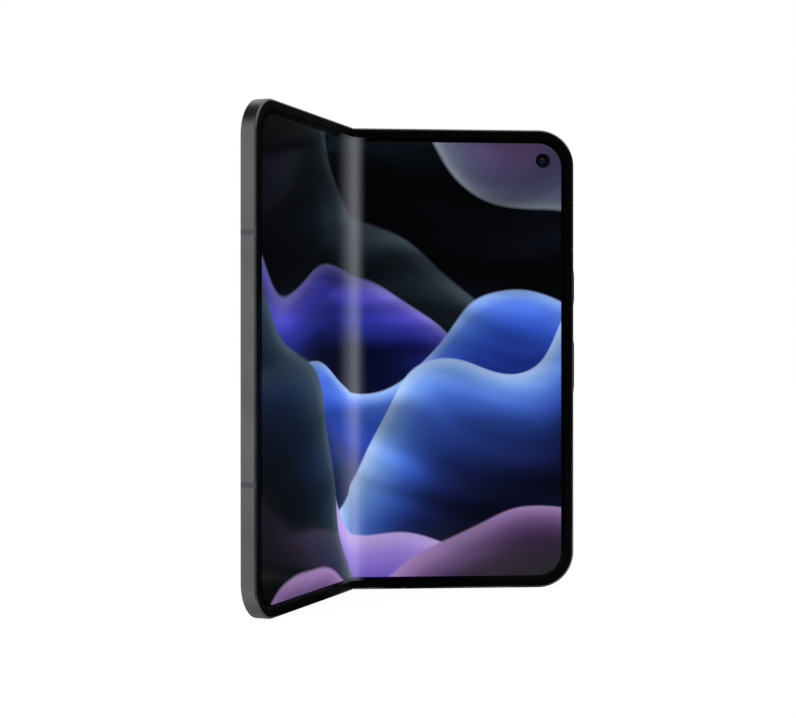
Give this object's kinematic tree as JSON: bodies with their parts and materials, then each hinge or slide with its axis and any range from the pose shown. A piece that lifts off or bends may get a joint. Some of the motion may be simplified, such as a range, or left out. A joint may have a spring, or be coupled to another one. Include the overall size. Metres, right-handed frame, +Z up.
{
  "type": "foldable smartphone",
  "caption": "Book-style foldable phone, standing half open: flexible inner display across a two-axis hinge, side keys, camera island, cover display and card tray.",
  "frame": {"origin": "on the fold line, at mid thickness of the main half, on the plane the phone stands on (the bottom face of the hinge end cap)", "axes": "+Z up along the hinge, +X across the main half from the fold line, +Y out of the main half's back"},
  "size_m": [0.1117, 0.0744, 0.1552],
  "materials": {
    "frame_metal": "bead-blasted and anodised",
    "antenna_plastic": "moulded, matt",
    "soft_bezel": "satin",
    "inner_screen": "gloss polymer film",
    "camera_black": "matt black",
    "lens_glass": "polished",
    "back_glass": "frosted",
    "cover_glass": "polished",
    "island_metal": "bead-blasted and anodised",
    "led_diffuser": "moulded",
    "battery_wrap": "satin film",
    "copper": "enamelled wire",
    "circuit_board": "solder mask",
    "stamped_steel": "stamped",
    "hinge_steel": "machined",
    "gold_contact": "plated",
    "flex_film": "polyimide film",
    "screen_panel": "laminated panel"
  },
  "bodies": {
    "hinge_spine": {"hinge_cover": "frame_metal", "hinge_cap_bottom": "frame_metal", "hinge_cap_top": "frame_metal", "hinge_bases": "hinge_steel", "fold_rest": "hinge_steel", "hinge_base_screws": "hinge_steel", "torque_shafts": "hinge_steel", "torque_springs": "gold_contact", "hinge_flex": "flex_film", "inner_display_fold": "inner_screen", "fold_bezels": "soft_bezel"},
    "main_half": {"main_frame": "frame_metal", "main_antenna_bands": "antenna_plastic", "main_bezel": "soft_bezel", "inner_display_main": "inner_screen", "inner_camera": "camera_black", "back_cover": "back_glass", "camera_island": "island_metal", "camera_windows": "lens_glass", "wide_camera": "camera_black", "ultrawide_camera": "camera_black", "tele_camera": "camera_black", "flash_led": "led_diffuser", "main_battery": "battery_wrap", "charging_coil": "copper", "main_board": "circuit_board", "main_shields": "stamped_steel", "main_screws": "hinge_steel", "usb_c_port": "stamped_steel", "bottom_board": "circuit_board", "bottom_speaker": "camera_black", "vibration_motor": "stamped_steel", "key_bracket": "stamped_steel", "key_switches": "gold_contact", "main_magnets": "stamped_steel", "main_flex": "flex_film", "main_arms": "hinge_steel"},
    "cover_half": {"cover_frame": "frame_metal", "cover_antenna_bands": "antenna_plastic", "cover_bezel": "soft_bezel", "inner_display_cover": "inner_screen", "cover_glass": "cover_glass", "cover_panel": "screen_panel", "cover_camera": "camera_black", "cover_battery": "battery_wrap", "cover_board": "circuit_board", "cover_shields": "stamped_steel", "cover_screws": "hinge_steel", "top_speaker": "camera_black", "sim_reader": "stamped_steel", "cover_magnets": "stamped_steel", "cover_flex": "flex_film", "cover_arms": "hinge_steel"},
    "power_key": {"power_button": "frame_metal"},
    "volume_key": {"volume_rocker": "frame_metal"},
    "card_tray": {"sim_tray": "frame_metal"},
    "main_support_wing": {"main_wing": "hinge_steel"},
    "cover_support_wing": {"cover_wing": "hinge_steel"}
  },
  "joints": [
    {"name": "main_fold", "type": "hinge", "parent": "hinge_spine", "child": "main_half", "pos_m": [0.00118, -0.00153, 0.0776], "axis": [0, 0, -1], "range_deg": [-32.25, 57.75], "deforming": ["inner_display_fold", "fold_bezels", "hinge_flex"]},
    {"name": "cover_fold", "type": "hinge", "parent": "hinge_spine", "child": "cover_half", "pos_m": [-0.00081, -0.00278, 0.0776], "axis": [0, 0, 1], "range_deg": [-32.25, 57.75]},
    {"name": "main_wing_tilt", "type": "hinge", "parent": "main_half", "child": "main_support_wing", "pos_m": [0.0063, -0.00155, 0.0776], "axis": [0, 0, 1], "range_deg": [-14.15, 7.9]},
    {"name": "cover_wing_tilt", "type": "hinge", "parent": "cover_half", "child": "cover_support_wing", "pos_m": [-0.003, -0.00742, 0.0776], "axis": [0, 0, 1], "range_deg": [-7.9, 14.15]},
    {"name": "power_press", "type": "slide", "parent": "main_half", "child": "power_key", "axis": [-1, 0, 0], "range_m": [0, 0.00025], "stiffness_N_per_m": 300, "springref_m": -0.0005},
    {"name": "volume_tilt", "type": "hinge", "parent": "main_half", "child": "volume_key", "pos_m": [0.0733, 0, 0.0751], "axis": [0, 1, 0], "range_deg": [-1.2, 1.2], "stiffness_Nm_per_rad": 0.01},
    {"name": "tray_slide", "type": "slide", "parent": "cover_half", "child": "card_tray", "axis": [0, 0, -1], "range_m": [0, 0.015]}
  ],
  "couplings": [
    {"joint": "cover_fold", "follows": "main_fold", "ratio": 1},
    {"joint": "main_wing_tilt", "follows": "main_fold", "ratio": -0.24444},
    {"joint": "cover_wing_tilt", "follows": "main_fold", "ratio": 0.24444}
  ]
}
